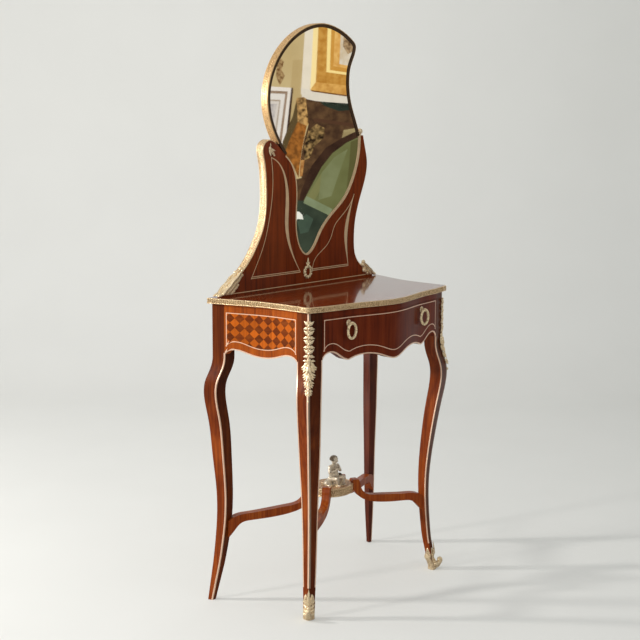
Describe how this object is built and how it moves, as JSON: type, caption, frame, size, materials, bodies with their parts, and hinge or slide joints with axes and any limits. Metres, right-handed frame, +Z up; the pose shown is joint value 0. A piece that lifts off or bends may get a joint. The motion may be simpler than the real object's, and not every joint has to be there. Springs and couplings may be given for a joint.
{
  "type": "poudreuse dressing table",
  "caption": "Serpentine dressing table on cabriole legs with gilt mounts, drawer with ring handles, cross stretcher with seated putto, and comma-shaped mirror in a shaped board.",
  "frame": {"origin": "bottom centre of the bounding box, on the floor between the feet", "axes": "X is the width, the drawer opens towards -Y, the mirror board stands along the +Y edge, Z is up"},
  "size_m": [0.6463, 0.354, 1.4411],
  "materials": {
    "veneer": "french polish",
    "leg_wood": "french polish",
    "parquetry": "french polish",
    "plain_wood": "plain",
    "gilt_bronze": "gilt, chased",
    "brass": "polished",
    "dark_moulding": "polished",
    "steel": "dull",
    "mirror": "silvered"
  },
  "bodies": {
    "frame": {"leg_front_left": "leg_wood", "leg_back_left": "leg_wood", "side_fillet_left": "brass", "arris_strip_left": "brass", "chute_left": "gilt_bronze", "sabot_left": "gilt_bronze", "side_rail_left": "parquetry", "stringing_left": "brass", "stretcher_arm_front_left": "leg_wood", "stretcher_arm_back_left": "leg_wood", "board_band_left": "gilt_bronze", "leaf_mount_left": "gilt_bronze", "leg_front_right": "leg_wood", "leg_back_right": "leg_wood", "side_fillet_right": "brass", "arris_strip_right": "brass", "chute_right": "gilt_bronze", "sabot_right": "gilt_bronze", "side_rail_right": "parquetry", "stringing_right": "brass", "stretcher_arm_front_right": "leg_wood", "stretcher_arm_back_right": "leg_wood", "board_band_right": "gilt_bronze", "leaf_mount_right": "gilt_bronze", "front_leg_fillets": "brass", "back_rail": "plain_wood", "front_top_rail": "veneer", "front_bearer_rail": "plain_wood", "drawer_runners": "plain_wood", "drawer_kickers": "plain_wood", "tabletop": "veneer", "tabletop_band": "gilt_bronze", "stretcher_platform": "leg_wood", "platform_rim": "gilt_bronze", "putto": "gilt_bronze", "mirror_board": "veneer", "opening_fillet": "brass", "board_stringing": "brass", "crest_mount": "gilt_bronze", "wreath_mount": "gilt_bronze", "ball_finial": "gilt_bronze", "mirror_back": "plain_wood", "mirror_glass": "mirror", "mirror_rim": "dark_moulding", "mirror_band": "gilt_bronze", "mirror_battens": "plain_wood", "batten_screws": "steel"},
    "drawer": {"drawer_front": "veneer", "stringing_front": "brass", "drawer_fillet": "brass", "drawer_side_left": "plain_wood", "drawer_side_right": "plain_wood", "drawer_back": "plain_wood", "drawer_bottom": "plain_wood", "handle_boss_left": "gilt_bronze", "handle_boss_right": "gilt_bronze", "handle_nuts": "steel"},
    "ring_left": {"ring_handle_left": "gilt_bronze"},
    "ring_right": {"ring_handle_right": "gilt_bronze"}
  },
  "joints": [
    {"name": "drawer_slide", "type": "slide", "parent": "frame", "child": "drawer", "axis": [0, -1, 0], "range_m": [0, 0.19]},
    {"name": "ring_left_swing", "type": "hinge", "parent": "drawer", "child": "ring_left", "pos_m": [-0.142, -0.14764, 0.722], "axis": [-1, 0, 0], "range_deg": [-8, 150]},
    {"name": "ring_right_swing", "type": "hinge", "parent": "drawer", "child": "ring_right", "pos_m": [0.142, -0.14764, 0.722], "axis": [-1, 0, 0], "range_deg": [-8, 150]}
  ]
}
